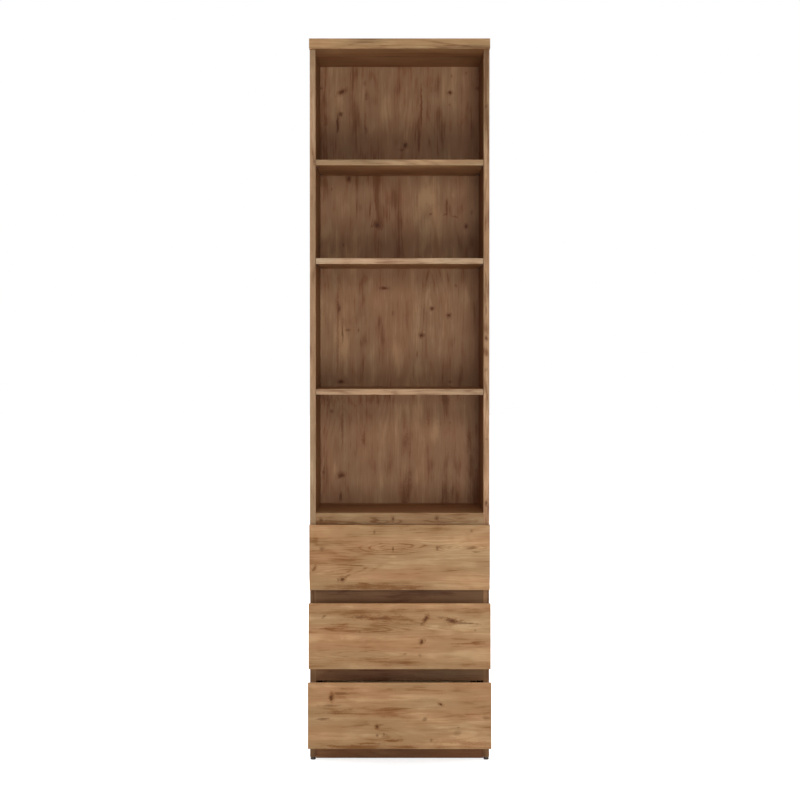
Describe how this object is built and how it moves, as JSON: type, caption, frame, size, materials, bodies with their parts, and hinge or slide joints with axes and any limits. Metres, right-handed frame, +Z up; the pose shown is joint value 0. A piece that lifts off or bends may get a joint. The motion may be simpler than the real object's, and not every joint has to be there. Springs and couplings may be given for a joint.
{
  "type": "bookcase with bottom drawers",
  "caption": "Tall narrow oak-effect bookcase: open compartments on pinned shelves above handleless drawers on side runners, the lower ones standing ajar.",
  "frame": {"origin": "on the floor, under the middle of the box that the bookcase fills as it stands in the picture, with the middle drawer 58 mm and the bottom drawer 103 mm open; the front edges of its sides are 128.5 mm towards -Y of it", "axes": "+Z up, the front with its drawers faces -Y, and +X is the right-hand side seen from the front"},
  "size_m": [0.5, 0.503, 2.001],
  "materials": {
    "case_oak": "satin oak-effect board",
    "front_oak": "satin oak-effect board, lighter, with knots",
    "back_oak": "matt oak-effect thin board, grain upright",
    "drawer_board": "matt pale oak-effect board",
    "thin_board": "matt pale oak-effect hardboard",
    "zinc_steel": "bright zinc",
    "brown_plastic": "matt",
    "dark_plastic": "matt"
  },
  "bodies": {
    "case": {"side_panel_left": "case_oak", "side_panel_right": "case_oak", "top_panel": "case_oak", "compartment_floor": "case_oak", "apron_rail": "case_oak", "drawer_rail_1": "case_oak", "drawer_rail_2": "case_oak", "bottom_panel": "case_oak", "plinth_front": "case_oak", "plinth_rear": "case_oak", "shelf_1": "case_oak", "shelf_2": "case_oak", "shelf_3": "case_oak", "back_panel_upper": "back_oak", "back_panel_lower": "back_oak", "back_joining_strip": "brown_plastic", "glide_front_left": "dark_plastic", "glide_rear_left": "dark_plastic", "glide_front_right": "dark_plastic", "glide_rear_right": "dark_plastic", "shelf_1_pin_front_left": "brown_plastic", "shelf_1_pin_rear_left": "brown_plastic", "shelf_1_pin_front_right": "brown_plastic", "shelf_1_pin_rear_right": "brown_plastic", "shelf_2_pin_front_left": "brown_plastic", "shelf_2_pin_rear_left": "brown_plastic", "shelf_2_pin_front_right": "brown_plastic", "shelf_2_pin_rear_right": "brown_plastic", "shelf_3_pin_front_left": "brown_plastic", "shelf_3_pin_rear_left": "brown_plastic", "shelf_3_pin_front_right": "brown_plastic", "shelf_3_pin_rear_right": "brown_plastic", "case_runner_1_left": "zinc_steel", "case_runner_1_right": "zinc_steel", "case_runner_2_left": "zinc_steel", "case_runner_2_right": "zinc_steel", "case_runner_3_left": "zinc_steel", "case_runner_3_right": "zinc_steel"},
    "drawer_1": {"drawer_1_front": "front_oak", "drawer_1_side_left": "drawer_board", "drawer_1_side_right": "drawer_board", "drawer_1_back": "drawer_board", "drawer_1_bottom": "thin_board", "drawer_1_runner_left": "zinc_steel", "drawer_1_runner_right": "zinc_steel"},
    "drawer_2": {"drawer_2_front": "front_oak", "drawer_2_side_left": "drawer_board", "drawer_2_side_right": "drawer_board", "drawer_2_back": "drawer_board", "drawer_2_bottom": "thin_board", "drawer_2_runner_left": "zinc_steel", "drawer_2_runner_right": "zinc_steel"},
    "drawer_3": {"drawer_3_front": "front_oak", "drawer_3_side_left": "drawer_board", "drawer_3_side_right": "drawer_board", "drawer_3_back": "drawer_board", "drawer_3_bottom": "thin_board", "drawer_3_runner_left": "zinc_steel", "drawer_3_runner_right": "zinc_steel"}
  },
  "joints": [
    {"name": "drawer_1_slide", "type": "slide", "parent": "case", "child": "drawer_1", "axis": [0, -1, 0], "range_m": [0, 0.26]},
    {"name": "drawer_2_slide", "type": "slide", "parent": "case", "child": "drawer_2", "axis": [0, -1, 0], "range_m": [-0.058, 0.202]},
    {"name": "drawer_3_slide", "type": "slide", "parent": "case", "child": "drawer_3", "axis": [0, -1, 0], "range_m": [-0.103, 0.157]}
  ]
}
